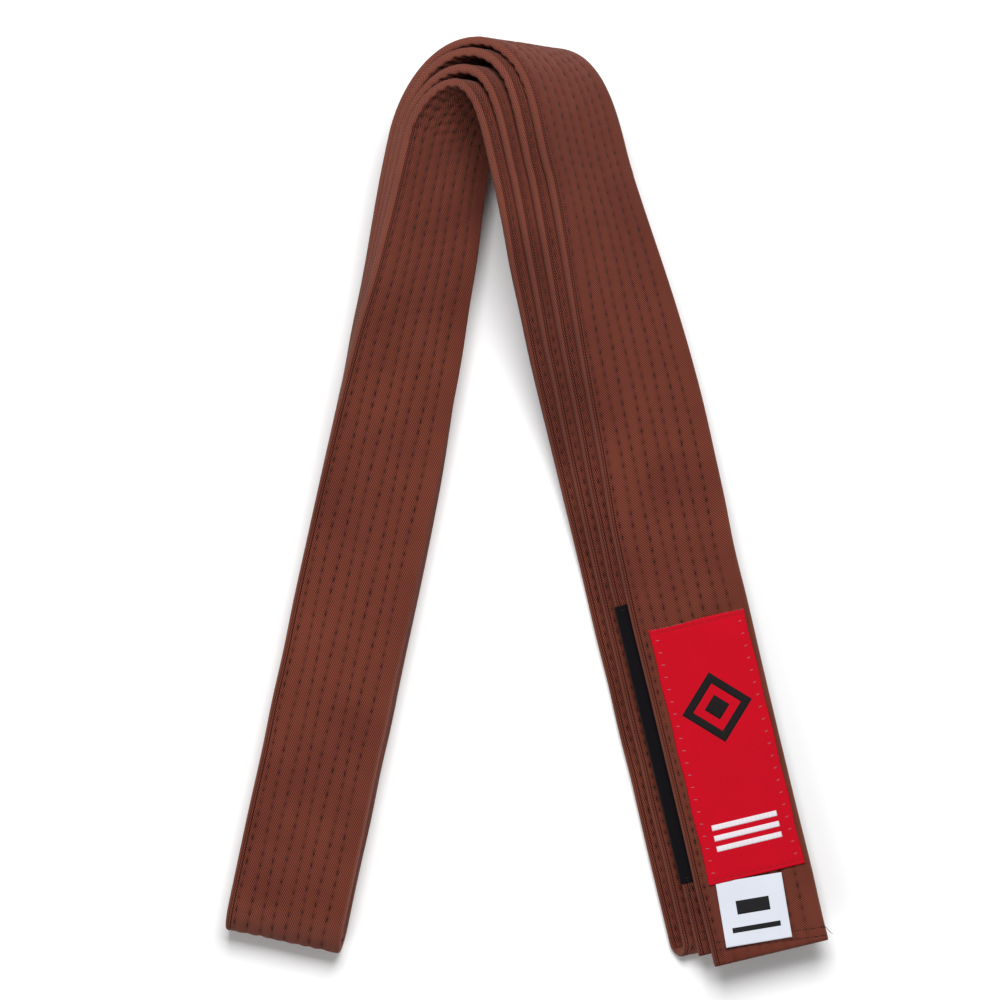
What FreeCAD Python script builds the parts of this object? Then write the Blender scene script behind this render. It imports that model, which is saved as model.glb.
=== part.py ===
import FreeCAD, Part
import math
import os

# A quilted cotton belt, folded in half twice and laid over itself as an upside-down V.
# Four layers lie on each other. Both legs rest flat on the table at their feet, and they
# turn up on edge towards the crown, where all four layers bend round.
# Millimetres. +Z is up, +Y runs from the feet to the crown, +X from the left leg to the right.

Vector = FreeCAD.Vector

# strip
belt_width = 46.0
belt_thickness = 4.4
layer_gap = 0.3
layer_pitch = belt_thickness + layer_gap
cover_wall = 0.6
core_play = 0.2
layer_names = ["inner", "third", "second", "outer"]
top_layer = len(layer_names) - 1

# legs in plan
left_foot_y = -160.5
left_slope = 0.2145
left_line_x = -37.0
left_line_y = 102.1
left_flat_y = -40.0
left_crown_y = 138.0
left_hook = 1.2
left_hook_y = 90.0
left_hook_length = 46.0
right_crown_y = 126.0
right_slope = 0.240
right_line_x = 76.3
right_line_y = -158.0
right_bow = 3.9
right_flat_y = -38.0
turn_top_y = 150.0

# tilt of the strip's width, and how far the layers slide sideways on each other
left_tilt = 43.0
right_tilt = 48.0
crown_skew_right = -2.0
left_foot_fan = 1.5
left_crown_fan = 5.0
left_fan_length = 130.0
right_fan = 14.7
right_lift = 21.0
right_lift_end_y = 134.0
right_lift_length = 125.0
edge_play = 0.5

# crown of the innermost layer
crown_point = Vector(-10.6, 160.0, 40.0)
crown_heading = Vector(0.86, -0.13, 0.44).normalize()
crown_reach_left = 13.0
crown_reach_top = 9.0
crown_reach_right = 16.0
crown_turn_reach = 30.0
crown_spread = [0.0, 1.4, 3.6, 3.6]
heading_step = 0.004

# folds and free ends
outer_fold_reach = 9.0
inner_fold_reach = 3.6
label_end_y = -179.3
bar_end_y = -174.1
loop_foot_y = -167.4
bar_hinge_y = -31.0
label_hinge_y = -45.5
hinge_gap = 0.3
end_wall = 1.2

# rank bar: a black sleeve drawn tight round the second layer
bar_top_y = -38.0
bar_bottom_y = -145.8
sleeve_wall = 0.4
sleeve_play = 0.05
sleeve_side = 0.3
bar_core_thickness = 1.9

# quilting and seams
quilt_rows = 8
quilt_first = 3.8
quilt_pitch = 5.0
thread_width = 0.5
thread_height = 0.12
hem_rows = [5.0, 8.6]
hem_stop = 10.0
bar_seam = 1.6
stitch_length = 2.6
stitch_step = 4.5

# woven patch and size tab on the label end
patch_width = 38.0
patch_length = 102.0
patch_thickness = 0.6
patch_above_end = 31.3
patch_aside = 1.7
patch_lift = 0.15
tick_inset = 3.2
tick_step = 4.9
tick_length = 2.2
patch_seam = 1.6
emblem_above = 67.0
emblem_size = 14.0
emblem_window = 9.5
emblem_heart = 5.0
band_above = 12.0
band_step = 4.2
band_count = 3
band_width = 26.0
band_height = 2.2
weave_height = 0.1
tab_width = 26.0
tab_length = 25.6
tab_thickness = 0.35
tab_above_end = 5.3
tab_aside = -2.8
print_height = 0.05
# printed bars: up from the tab's lower edge, width, height
print_bars = [(12.0, 13.0, 5.5), (5.0, 19.0, 2.2)]

# moves the model so that it is centred over its origin
to_centre = Vector(-0.278, 0.192, 0.0)


def smooth(u):
    u = min(1.0, max(0.0, u))
    return u * u * (3.0 - 2.0 * u)


def cross_direction(tilt, skew):
    """Unit vector across the strip: turned in plan by skew, dipping to the right by tilt."""
    return Vector(
        math.cos(tilt) * math.cos(skew),
        math.cos(tilt) * math.sin(skew),
        -math.sin(tilt),
    )


def resting_height(tilt, aside):
    """Height of a tilted strip's middle when its lower edge, moved aside, touches the table."""
    edge = (belt_width / 2 + aside) * math.sin(tilt) + belt_thickness / 2 * math.cos(tilt)
    return edge + edge_play * math.sin(tilt)


def left_leg(y):
    """Middle, cross direction and fan of the innermost layer on the left leg."""
    tilt = math.radians(left_tilt) * smooth((y - left_flat_y) / (turn_top_y - left_flat_y))
    x = left_line_x + left_slope * (y - left_line_y)
    x -= left_hook * smooth((y - left_hook_y) / left_hook_length)
    fan_part = smooth((y - left_flat_y) / left_fan_length)
    fan = left_foot_fan + (left_crown_fan - left_foot_fan) * fan_part
    z = resting_height(tilt, fan) + top_layer * layer_pitch * math.cos(tilt)
    return Vector(x, y, z), cross_direction(tilt, -math.atan(left_slope)), fan


def right_leg(y):
    """Middle, cross direction and fan of the innermost layer on the right leg."""
    turn = smooth((y - right_flat_y) / (turn_top_y - right_flat_y))
    tilt = math.radians(right_tilt) * turn
    skew_low = math.atan(right_slope)
    skew = skew_low + (math.radians(crown_skew_right) - skew_low) * turn
    bow = max(0.0, (y - right_flat_y) / (right_crown_y - right_flat_y))
    x = right_line_x - right_slope * (y - right_line_y) - right_bow * bow * bow
    lift = right_lift * (1.0 - smooth((right_lift_end_y - y) / right_lift_length))
    return Vector(x, y, resting_height(tilt, 0.0) + lift), cross_direction(tilt, skew), right_fan


def bezier(a, b, c, d, u):
    v = 1.0 - u
    return a * v**3 + b * (3 * u * v * v) + c * (3 * u * u * v) + d * u**3


def crown(u):
    """The crown, from the left leg's top at u = 0 over the top at 0.5 to the right leg's at 1."""
    left, left_cross, left_fan = left_leg(left_crown_y)
    right, right_cross, fan_right = right_leg(right_crown_y)
    left_heading = (left - left_leg(left_crown_y - 1.0)[0]).normalize()
    right_heading = (right_leg(right_crown_y - 1.0)[0] - right).normalize()
    if u < 0.5:
        before_top = crown_point - crown_heading * crown_reach_top
        point = bezier(left, left + left_heading * crown_reach_left, before_top, crown_point, 2 * u)
    else:
        after_top = crown_point + crown_heading * crown_reach_top
        before_leg = right - right_heading * crown_reach_right
        point = bezier(crown_point, after_top, before_leg, right, 2 * u - 1)
    left_turn = left_cross - left_leg(left_crown_y - 1.0)[1]
    right_turn = right_leg(right_crown_y - 1.0)[1] - right_cross
    after_left = left_cross + left_turn * crown_turn_reach
    before_right = right_cross - right_turn * crown_turn_reach
    across = bezier(left_cross, after_left, before_right, right_cross, u).normalize()
    return point, across, left_fan + (fan_right - left_fan) * smooth(u)


def left_at(y):
    return (y - left_foot_y) / (left_crown_y - left_foot_y)


def right_at(y):
    return 2.0 + (right_crown_y - y) / (right_crown_y - label_end_y)


def course(t):
    """The innermost layer's course: 0 to 1 up the left leg, 1 to 2 over the crown, 2 to 3 down."""
    if t <= 1.0:
        return left_leg(left_foot_y + t * (left_crown_y - left_foot_y))
    if t < 2.0:
        return crown(t - 1.0)
    return right_leg(right_crown_y - (t - 2.0) * (right_crown_y - label_end_y))


def outward(t):
    """Unit normal of the stack, pointing from the innermost layer to the outermost."""
    heading = course(t + heading_step)[0] - course(t - heading_step)[0]
    return heading.cross(course(t)[1]).normalize()


def layer_middle(layer, t):
    point, across, fan = course(t)
    crown_part = math.sin(math.pi * min(1.0, max(0.0, t - 1.0))) ** 2
    out = layer * layer_pitch + crown_spread[layer] * crown_part
    return to_centre + point + outward(t) * out + across * (fan * layer / top_layer)


def layer_frame(layer, t):
    """Middle, half-width vector and outward normal of a layer at course position t."""
    heading = layer_middle(layer, t + heading_step) - layer_middle(layer, t - heading_step)
    heading.normalize()
    across = course(t)[1]
    stretch = 1.0 / across.cross(heading).Length
    return layer_middle(layer, t), across * stretch, outward(t)


def fold_frames(first, last, t, reach, steps):
    """Frames round a fold that joins two layers beyond one end of the course."""
    start, across, out = layer_frame(first, t)
    end = layer_frame(last, t)[0]
    inside = t + heading_step if t < 1.0 else t - heading_step
    heading = (layer_middle(first, t) - layer_middle(first, inside)).normalize()
    middle = (start + end) * 0.5
    arm = start - middle
    half = abs(arm.dot(out))
    side = 1.0 if arm.dot(out) > 0 else -1.0
    frames = []
    for step in range(steps + 1):
        angle = math.pi * step / steps
        centre = middle + arm * math.cos(angle) + heading * (reach * math.sin(angle))
        normal = out * (side * reach * math.cos(angle)) + heading * (half * math.sin(angle))
        frames.append((centre, across, normal.normalize()))
    return frames


def section_corners(frame, width, thickness, aside=0.0, raised=0.0):
    """Corners of a rectangle across a strip."""
    middle, across, normal = frame
    low = raised - thickness / 2
    high = raised + thickness / 2
    corners = []
    for side, height in ((-0.5, low), (0.5, low), (0.5, high), (-0.5, high)):
        corners.append(middle + across * (aside + side * width) + normal * height)
    return corners


def outline(corners):
    return Part.makePolygon(corners + [corners[0]])


def strip(frames, width, thickness):
    """Solid strip with straight stretches between its frames."""
    sections = [outline(section_corners(frame, width, thickness)) for frame in frames]
    if len(sections) == 2:
        travel = frames[1][0] - frames[0][0]
        return Part.Face(sections[0]).extrude(travel)
    return Part.makeLoft(sections, True, True)


def thread_run(frames, aside, raised):
    """Thread along a strip, with flat facets between its frames."""
    if len(frames) == 2:
        end = section_corners(frames[0], thread_width, thread_height, aside, raised)
        return Part.Face(outline(end)).extrude(frames[1][0] - frames[0][0])
    rings = []
    for frame in frames:
        rings.append(section_corners(frame, thread_width, thread_height, aside, raised))
    faces = [Part.Face(outline(rings[0])), Part.Face(outline(rings[-1]))]
    for ring, following in zip(rings, rings[1:]):
        for corner in range(4):
            beside = (corner + 1) % 4
            faces.append(Part.Face(outline([ring[corner], ring[beside], following[beside]])))
            faces.append(Part.Face(outline([ring[corner], following[beside], following[corner]])))
    return Part.Solid(Part.Shell(faces))


def sleeve(frames, width, thickness, inner_width, inner_thickness):
    outside = strip(frames, width, thickness)
    return outside.cut(strip(frames, inner_width, inner_thickness))


def cover(frames):
    return sleeve(frames, belt_width, belt_thickness, inner_width, inner_thickness)


def along(layer, start, end, count):
    frames = []
    for step in range(count + 1):
        frames.append(layer_frame(layer, start + (end - start) * step / count))
    return frames


def flipped(frames):
    return [(middle, across, normal * -1.0) for middle, across, normal in frames]


def moved(frame, distance, heading):
    middle, across, normal = frame
    return middle + heading * distance, across, normal


def tile(frame, heading, back, aside, length, width, low, thickness):
    """Flat block on a strip's outer face: back from the frame, from aside, low above the face."""
    middle, across, normal = frame
    corner = middle - heading * (back + length) + across * (aside - width / 2)
    corner = corner + normal * (belt_thickness / 2 + low)
    points = [corner, corner + across * width, corner + across * width + heading * length]
    points += [corner + heading * length, corner]
    return Part.Face(Part.makePolygon(points)).extrude(normal * thickness)


def stitch_row_across(frame, heading, back, width, low):
    """Dashes of thread in one row across a strip."""
    count = int((width - stitch_length) / stitch_step)
    dashes = []
    for number in range(count + 1):
        aside = (number - count / 2) * stitch_step
        dashes.append(tile(frame, heading, back, aside, thread_width, stitch_length, low, thread_height))
    return dashes


def quilt_threads(frames, face):
    """The quilting rows on one face of a strip: face is 1 for the outer face, -1 for the inner."""
    raised = face * (belt_thickness + thread_height) / 2
    threads = []
    for row in range(quilt_rows):
        aside = quilt_first + row * quilt_pitch - belt_width / 2
        threads.append(thread_run(frames, aside, raised))
    return threads


def woven_diamond(frame, heading, size, low):
    """Diamond standing on its corner, woven into the patch's upper half."""
    middle, across, normal = frame
    centre = middle - heading * (patch_above_end + emblem_above) + across * patch_aside
    centre = centre + normal * (belt_thickness / 2 + low)
    corners = [centre + across * size, centre + heading * size]
    corners += [centre - across * size, centre - heading * size, centre + across * size]
    return Part.Face(Part.makePolygon(corners)).extrude(normal * weave_height)


def export(name, shape):
    shape.exportStep("parts/" + name + ".step")


os.makedirs("parts", exist_ok=True)

turn_steps = 9
crown_steps = 14
fold_steps = 8
inner_width = belt_width - 2 * cover_wall
inner_thickness = belt_thickness - 2 * cover_wall
core_width = inner_width - 2 * core_play
core_thickness = inner_thickness - 2 * core_play
left_turn = left_at(left_flat_y)
right_turn_end = right_at(right_flat_y)
hinge_t = right_at(bar_hinge_y)

# the cover, in the stretches that lie straight, turn up on edge, or bend
frames_by_layer = []
for layer, name in enumerate(layer_names):
    left_run = [layer_frame(layer, 0.0), layer_frame(layer, left_turn)]
    left_rise = along(layer, left_turn, 1.0, turn_steps)
    over = along(layer, 1.0, 2.0, crown_steps)
    last = right_turn_end if layer < 2 else hinge_t
    right_fall = along(layer, 2.0, last, turn_steps)
    export("cover_" + name + "_left_run", cover(left_run))
    export("cover_" + name + "_left_turn", cover(left_rise))
    export("cover_" + name + "_crown", cover(over))
    export("cover_" + name + "_right_turn", cover(right_fall))
    whole = left_run + left_rise[1:] + over[1:] + right_fall[1:]
    if layer < 2:
        right_run = [layer_frame(layer, right_turn_end), layer_frame(layer, right_at(loop_foot_y))]
        export("cover_" + name + "_right_run", cover(right_run))
        whole.append(right_run[1])
    frames_by_layer.append(whole)

outer_fold = fold_frames(3, 0, 0.0, outer_fold_reach, fold_steps)
inner_fold = fold_frames(1, 2, 0.0, inner_fold_reach, fold_steps)
middle_loop = fold_frames(0, 1, right_at(loop_foot_y), inner_fold_reach, fold_steps)
export("cover_outer_fold", cover(outer_fold))
export("cover_inner_fold", cover(inner_fold))
export("cover_middle_loop", cover(middle_loop))

# one core runs through all of it, from the label hinge to the bar hinge
core_path = list(reversed(frames_by_layer[3]))
core_path += outer_fold[1:-1]
core_path += flipped(frames_by_layer[0])
core_path += middle_loop[1:-1]
core_path += list(reversed(frames_by_layer[1]))
core_path += flipped(inner_fold)[1:-1]
core_path += flipped(frames_by_layer[2])
export("core_long", strip(core_path, core_width, core_thickness))

# label end: the outer layer's free end, in a short link and the end itself
leg_heading = layer_middle(3, right_at(label_end_y)) - layer_middle(3, right_at(label_hinge_y))
leg_heading.normalize()
link_top = moved(layer_frame(3, hinge_t), hinge_gap, leg_heading)
link_bottom = layer_frame(3, right_at(label_hinge_y))
end_top = moved(link_bottom, hinge_gap, leg_heading)
end_bottom = layer_frame(3, right_at(label_end_y))
hollow_stop = moved(end_bottom, -end_wall, leg_heading)
core_stop = moved(end_bottom, -end_wall - core_play, leg_heading)
export("cover_label_link", cover([link_top, link_bottom]))
export("core_label_link", strip([link_top, link_bottom], core_width, core_thickness))
label_cover = strip([end_top, end_bottom], belt_width, belt_thickness)
label_cover = label_cover.cut(strip([end_top, hollow_stop], inner_width, inner_thickness))
export("cover_label_end", label_cover)
export("core_label_end", strip([end_top, core_stop], core_width, core_thickness))

# bar end: the second layer's free end, drawn in under the rank bar
bar_start = moved(layer_frame(2, hinge_t), hinge_gap, leg_heading)
bar_stop = layer_frame(2, right_at(bar_end_y))
sleeve_top = layer_frame(2, right_at(bar_top_y))
sleeve_bottom = layer_frame(2, right_at(bar_bottom_y))
waist_thickness = belt_thickness - 2 * sleeve_wall - 2 * sleeve_play
waist_width = belt_width + 2 * sleeve_side - 2 * sleeve_wall - 2 * sleeve_play
upper = strip([bar_start, sleeve_top], belt_width, belt_thickness)
waist = strip([sleeve_top, sleeve_bottom], waist_width, waist_thickness)
lower = strip([sleeve_bottom, bar_stop], belt_width, belt_thickness)
bar_cover = upper.fuse([waist, lower]).removeSplitter()
bar_hollow_width = waist_width - 2 * cover_wall
bar_hollow_thickness = bar_core_thickness + 2 * core_play
bar_frames = [bar_start, sleeve_top, moved(bar_stop, -end_wall, leg_heading)]
bar_cover = bar_cover.cut(strip(bar_frames, bar_hollow_width, bar_hollow_thickness))
export("cover_bar_end", bar_cover)
core_frames = bar_frames[:2] + [moved(bar_stop, -end_wall - core_play, leg_heading)]
bar_core = strip(core_frames, bar_hollow_width - 2 * core_play, bar_core_thickness)
export("core_bar_end", bar_core)
sleeve_frames = [sleeve_top, sleeve_bottom]
sleeve_hollow_width = waist_width + 2 * sleeve_play
sleeve_hollow_thickness = waist_thickness + 2 * sleeve_play
sleeve_width = belt_width + 2 * sleeve_side
rank_bar = sleeve(sleeve_frames, sleeve_width, belt_thickness, sleeve_hollow_width, sleeve_hollow_thickness)
export("rank_bar_sleeve", rank_bar)

# quilting thread on the faces that lie open, and the hem rows across both free ends
crown_and_fall = frames_by_layer[3][turn_steps + 1:]
open_leg = frames_by_layer[0][:turn_steps + crown_steps + 2]
quilt_stop = moved(end_bottom, -hem_stop, leg_heading)
bar_quilt_top = moved(sleeve_bottom, hinge_gap, leg_heading)
bar_quilt_stop = moved(bar_stop, -hem_stop, leg_heading)
export("quilting_label_side", Part.makeCompound(quilt_threads(crown_and_fall, 1)))
export("quilting_open_leg", Part.makeCompound(quilt_threads(open_leg, -1)))
export("quilting_label_link", Part.makeCompound(quilt_threads([link_top, link_bottom], 1)))
export("quilting_label_end", Part.makeCompound(quilt_threads([end_top, quilt_stop], 1)))
export("quilting_bar_end", Part.makeCompound(quilt_threads([bar_quilt_top, bar_quilt_stop], 1)))
for name, frame in (("label_end", end_bottom), ("bar_end", bar_stop)):
    hem = []
    for back in hem_rows:
        hem += stitch_row_across(frame, leg_heading, back, belt_width, 0.0)
    export("hem_stitches_" + name, Part.makeCompound(hem))
bar_stitches = []
bar_length = (sleeve_bottom[0] - sleeve_top[0]).Length
for back in (bar_seam, bar_length - bar_seam - thread_width):
    bar_stitches += stitch_row_across(sleeve_bottom, leg_heading, back, sleeve_width, 0.0)
export("rank_bar_stitches", Part.makeCompound(bar_stitches))

# woven patch, with its seams and plain woven figures
patch_top_face = patch_lift + patch_thickness
patch = tile(end_bottom, leg_heading, patch_above_end, patch_aside, patch_length, patch_width,
             patch_lift, patch_thickness)
export("label_patch", patch)
ticks = []
tick_count = int((patch_length - 2 * patch_seam) / tick_step)
for number in range(1, tick_count):
    back = patch_above_end + number * tick_step
    for side in (-1, 1):
        aside = patch_aside + side * (patch_width / 2 - tick_inset)
        ticks.append(tile(end_bottom, leg_heading, back, aside, thread_width, tick_length,
                          patch_top_face, thread_height))
export("patch_side_stitches", Part.makeCompound(ticks))
end_rows = []
seam_width = patch_width - 2 * patch_seam
for back in (patch_seam, patch_length - patch_seam):
    row = stitch_row_across(end_bottom, leg_heading, patch_above_end + back, seam_width, patch_top_face)
    for dash in row:
        end_rows.append(dash.translated(end_bottom[1] * patch_aside))
export("patch_end_stitches", Part.makeCompound(end_rows))

ring = woven_diamond(end_bottom, leg_heading, emblem_size, patch_top_face)
ring = ring.cut(woven_diamond(end_bottom, leg_heading, emblem_window, patch_top_face))
heart = woven_diamond(end_bottom, leg_heading, emblem_heart, patch_top_face)
export("patch_emblem", Part.makeCompound([ring, heart]))
bands = []
for number in range(band_count):
    back = patch_above_end + band_above + number * band_step
    bands.append(tile(end_bottom, leg_heading, back, patch_aside, band_height, band_width,
                      patch_top_face, weave_height))
export("patch_bands", Part.makeCompound(bands))

# size tab, sewn in under the patch's lower edge, with plain printed bars
tab = tile(end_bottom, leg_heading, tab_above_end, tab_aside, tab_length, tab_width,
           patch_lift, tab_thickness)
export("size_tab", tab)
printed = []
for back, width, height in print_bars:
    printed.append(tile(end_bottom, leg_heading, tab_above_end + back, tab_aside, height, width,
                        patch_lift + tab_thickness, print_height))
export("size_tab_print", Part.makeCompound(printed))
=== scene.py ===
import math
import bpy
import numpy as np
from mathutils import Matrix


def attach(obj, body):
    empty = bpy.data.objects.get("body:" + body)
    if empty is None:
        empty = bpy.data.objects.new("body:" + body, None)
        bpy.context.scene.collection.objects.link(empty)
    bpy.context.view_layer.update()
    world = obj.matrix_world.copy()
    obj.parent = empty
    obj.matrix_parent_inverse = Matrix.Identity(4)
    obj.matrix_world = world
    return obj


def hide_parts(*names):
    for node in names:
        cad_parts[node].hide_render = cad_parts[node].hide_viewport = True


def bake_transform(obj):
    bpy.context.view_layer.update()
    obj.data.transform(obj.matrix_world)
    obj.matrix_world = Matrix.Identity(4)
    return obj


# a quilted cotton belt: one long strip, folded to four layers and bent over itself
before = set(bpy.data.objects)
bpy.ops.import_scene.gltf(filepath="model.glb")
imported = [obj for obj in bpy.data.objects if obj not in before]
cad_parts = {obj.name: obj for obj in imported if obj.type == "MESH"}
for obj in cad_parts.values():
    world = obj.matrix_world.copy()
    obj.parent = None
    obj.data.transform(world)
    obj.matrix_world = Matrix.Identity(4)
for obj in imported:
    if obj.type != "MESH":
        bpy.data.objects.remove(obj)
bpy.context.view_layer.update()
print("frame loaded")


belt = {
    "width": 0.046,
    "thickness": 0.0044,
    "pitch": 0.0047,  # from layer to layer
    "step": 0.00112,  # between rings along the strip
    "edgeRadius": 0.0016,
    "edgeCloth": 0.0029,  # of cloth from a flat face to the middle of an edge
    "endRound": 0.0016,  # length over which a free end rounds off
    "endThin": 0.30,
    "endNarrow": 0.018,
    "edgeWander": 0.005,
    "labelEndY": -0.1793,
    "barEndY": -0.1741,
    "loopFootY": -0.1674,
    "leftFootY": -0.1605,
    "leftCrownY": 0.138,
    "rightCrownY": 0.126,
    "toCentre": (-0.000278, 0.000192, 0.0),
}
leftLegShape = {"slope": 0.2145, "lineX": -0.037, "lineY": 0.1021, "tilt": 43.0, "flatY": -0.040,
                "hook": 0.0012, "hookY": 0.090, "hookLength": 0.046,
                "footFan": 0.0015, "crownFan": 0.005, "fanLength": 0.130}
rightLegShape = {"slope": 0.240, "lineX": 0.0763, "lineY": -0.158, "tilt": 48.0, "flatY": -0.038,
                 "skewTop": -2.0, "bow": 0.0039, "lift": 0.021, "liftEndY": 0.134, "liftLength": 0.125,
                 "fan": 0.0147}
crownShape = {"point": (-0.0106, 0.160, 0.040), "heading": (0.86, -0.13, 0.44), "reachLeft": 0.013,
              "reachTop": 0.009, "reachRight": 0.016, "turnReach": 30.0,
              "spread": (0.0, 0.0014, 0.0036, 0.0036)}
turnTopY = 0.150
edgePlay = 0.0005
foldReach = {"outer": 0.009, "inner": 0.0036}


def smooth(u):
    u = np.clip(u, 0.0, 1.0)
    return u * u * (3.0 - 2.0 * u)


def unit(v):
    return v / np.linalg.norm(v, axis=-1, keepdims=True)


def crossDirection(tilt, skew):
    # turned in plan by skew, dipping to the right by tilt
    tilt, skew = np.broadcast_arrays(tilt, skew)
    return np.stack([np.cos(tilt) * np.cos(skew), np.cos(tilt) * np.sin(skew), -np.sin(tilt)], -1)


def restingHeight(tilt, aside):
    # height of a tilted strip's middle when its lower edge touches the table
    edge = (belt["width"] / 2 + aside) * np.sin(tilt) + belt["thickness"] / 2 * np.cos(tilt)
    return edge + edgePlay * np.sin(tilt)


def leftLeg(y):
    # a straight line in plan that hooks a little at its top, turning up on edge by a smooth step
    leg = leftLegShape
    tilt = math.radians(leg["tilt"]) * smooth((y - leg["flatY"]) / (turnTopY - leg["flatY"]))
    x = leg["lineX"] + leg["slope"] * (y - leg["lineY"])
    x = x - leg["hook"] * smooth((y - leg["hookY"]) / leg["hookLength"])
    fanPart = smooth((y - leg["flatY"]) / leg["fanLength"])
    fan = leg["footFan"] + (leg["crownFan"] - leg["footFan"]) * fanPart
    z = restingHeight(tilt, fan) + 3 * belt["pitch"] * np.cos(tilt)
    return np.stack([x, y, z], -1), crossDirection(tilt, -math.atan(leg["slope"])), fan


def rightLeg(y):
    # a line in plan that bows in by a parabola, and lifts off the table towards the crown
    leg = rightLegShape
    turn = smooth((y - leg["flatY"]) / (turnTopY - leg["flatY"]))
    tilt = math.radians(leg["tilt"]) * turn
    skewLow = math.atan(leg["slope"])
    skew = skewLow + (math.radians(leg["skewTop"]) - skewLow) * turn
    bow = np.maximum(0.0, (y - leg["flatY"]) / (belt["rightCrownY"] - leg["flatY"]))
    x = leg["lineX"] - leg["slope"] * (y - leg["lineY"]) - leg["bow"] * bow * bow
    lift = leg["lift"] * (1.0 - smooth((leg["liftEndY"] - y) / leg["liftLength"]))
    point = np.stack([x, y, restingHeight(tilt, 0.0) + lift], -1)
    return point, crossDirection(tilt, skew), np.full_like(y, leg["fan"])


def bezier(a, b, c, d, u):
    u = u[:, None]
    v = 1.0 - u
    return a * v**3 + b * 3 * u * v * v + c * 3 * u * u * v + d * u**3


def crown(u):
    # two cubic curves that meet at the innermost layer's highest point
    leftTop, rightTop = np.array([belt["leftCrownY"]]), np.array([belt["rightCrownY"]])
    left, leftCross, leftFan = (part[0] for part in leftLeg(leftTop))
    right, rightCross, rightFan = (part[0] for part in rightLeg(rightTop))
    leftBelow, rightBelow = leftLeg(leftTop - 0.001), rightLeg(rightTop - 0.001)
    leftHeading = unit(left - leftBelow[0][0])
    rightHeading = unit(rightBelow[0][0] - right)
    top, heading = np.array(crownShape["point"]), unit(np.array(crownShape["heading"]))
    rise = bezier(left, left + leftHeading * crownShape["reachLeft"],
                  top - heading * crownShape["reachTop"], top, np.clip(2 * u, 0, 1))
    fall = bezier(top, top + heading * crownShape["reachTop"],
                  right - rightHeading * crownShape["reachRight"], right, np.clip(2 * u - 1, 0, 1))
    point = np.where(u[:, None] < 0.5, rise, fall)
    afterLeft = leftCross + (leftCross - leftBelow[1][0]) * crownShape["turnReach"]
    beforeRight = rightCross - (rightBelow[1][0] - rightCross) * crownShape["turnReach"]
    across = unit(bezier(leftCross, afterLeft, beforeRight, rightCross, u))
    return point, across, leftFan + (rightFan - leftFan) * smooth(u)


def course(t):
    # 0 to 1 up the left leg, 1 to 2 over the crown, 2 to 3 down the right leg
    left = leftLeg(belt["leftFootY"] + t * (belt["leftCrownY"] - belt["leftFootY"]))
    top = crown(t - 1.0)
    right = rightLeg(belt["rightCrownY"] - (t - 2.0) * (belt["rightCrownY"] - belt["labelEndY"]))
    onLeft, onTop = t <= 1.0, t < 2.0
    point = np.where(onLeft[:, None], left[0], np.where(onTop[:, None], top[0], right[0]))
    across = np.where(onLeft[:, None], left[1], np.where(onTop[:, None], top[1], right[1]))
    fan = np.where(onLeft, left[2], np.where(onTop, top[2], right[2]))
    return point, across, fan


def rightAt(y):
    return 2.0 + (belt["rightCrownY"] - y) / (belt["rightCrownY"] - belt["labelEndY"])


headingStep = 0.004


def outward(t):
    heading = course(t + headingStep)[0] - course(t - headingStep)[0]
    return unit(np.cross(heading, course(t)[1]))


def layerMiddle(layer, t):
    point, across, fan = course(t)
    crownPart = np.sin(np.pi * np.clip(t - 1.0, 0, 1)) ** 2
    out = layer * belt["pitch"] + crownShape["spread"][layer] * crownPart
    fanned = across * (fan * layer / 3)[:, None]
    return np.array(belt["toCentre"]) + point + outward(t) * out[:, None] + fanned


def layerFrame(layer, t):
    heading = unit(layerMiddle(layer, t + headingStep) - layerMiddle(layer, t - headingStep))
    across = course(t)[1]
    stretch = 1.0 / np.linalg.norm(np.cross(across, heading), axis=-1, keepdims=True)
    return layerMiddle(layer, t), across * stretch, outward(t)


def foldFrame(first, last, t, reach, angles):
    # half an ellipse from one layer round to another, beyond one end of the course
    t = np.array([t])
    start, across, out = (part[0] for part in layerFrame(first, t))
    end = layerFrame(last, t)[0][0]
    inside = t + headingStep if t[0] < 1.0 else t - headingStep
    heading = unit(layerMiddle(first, t) - layerMiddle(first, inside))[0]
    middle = (start + end) / 2
    arm = start - middle
    half, side = abs(arm @ out), np.sign(arm @ out)
    cosine, sine = np.cos(angles)[:, None], np.sin(angles)[:, None]
    centre = middle + arm * cosine + heading * (reach * sine)
    normal = unit(out * (side * reach * cosine) + heading * (half * sine))
    return centre, np.repeat(across[None], len(angles), 0), normal


def layStrip():
    # the whole strip from the label end to the bar end, resampled to even steps of its length
    footT, loopT, barT = 0.0, rightAt(belt["loopFootY"]), rightAt(belt["barEndY"])
    bend = np.linspace(0, np.pi, 60)[1:-1]
    runs, marks = [], {}

    def addLayer(name, layer, start, end, sign):
        t = np.linspace(start, end, 1700)
        middle, across, normal = layerFrame(layer, t)
        marks[name] = (len(np.concatenate([run[0] for run in runs])) if runs else 0, t)
        runs.append((middle, across, normal * sign))

    def addFold(first, last, t, reach, sign):
        middle, across, normal = foldFrame(first, last, t, reach, bend)
        runs.append((middle, across, normal * sign))

    addLayer("outer", 3, 3.0, footT, 1)
    addFold(3, 0, footT, foldReach["outer"], 1)
    addLayer("inner", 0, footT, loopT, -1)
    addFold(0, 1, loopT, foldReach["inner"], 1)
    addLayer("third", 1, loopT, footT, 1)
    addFold(1, 2, footT, foldReach["inner"], -1)
    addLayer("second", 2, footT, barT, -1)
    middle, across, normal = (np.concatenate([run[part] for run in runs]) for part in range(3))
    length = np.concatenate([[0], np.cumsum(np.linalg.norm(np.diff(middle, axis=0), axis=1))])
    places = {name: (t, length[first:first + len(t)]) for name, (first, t) in marks.items()}
    return length, middle, across, normal, places


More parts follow.
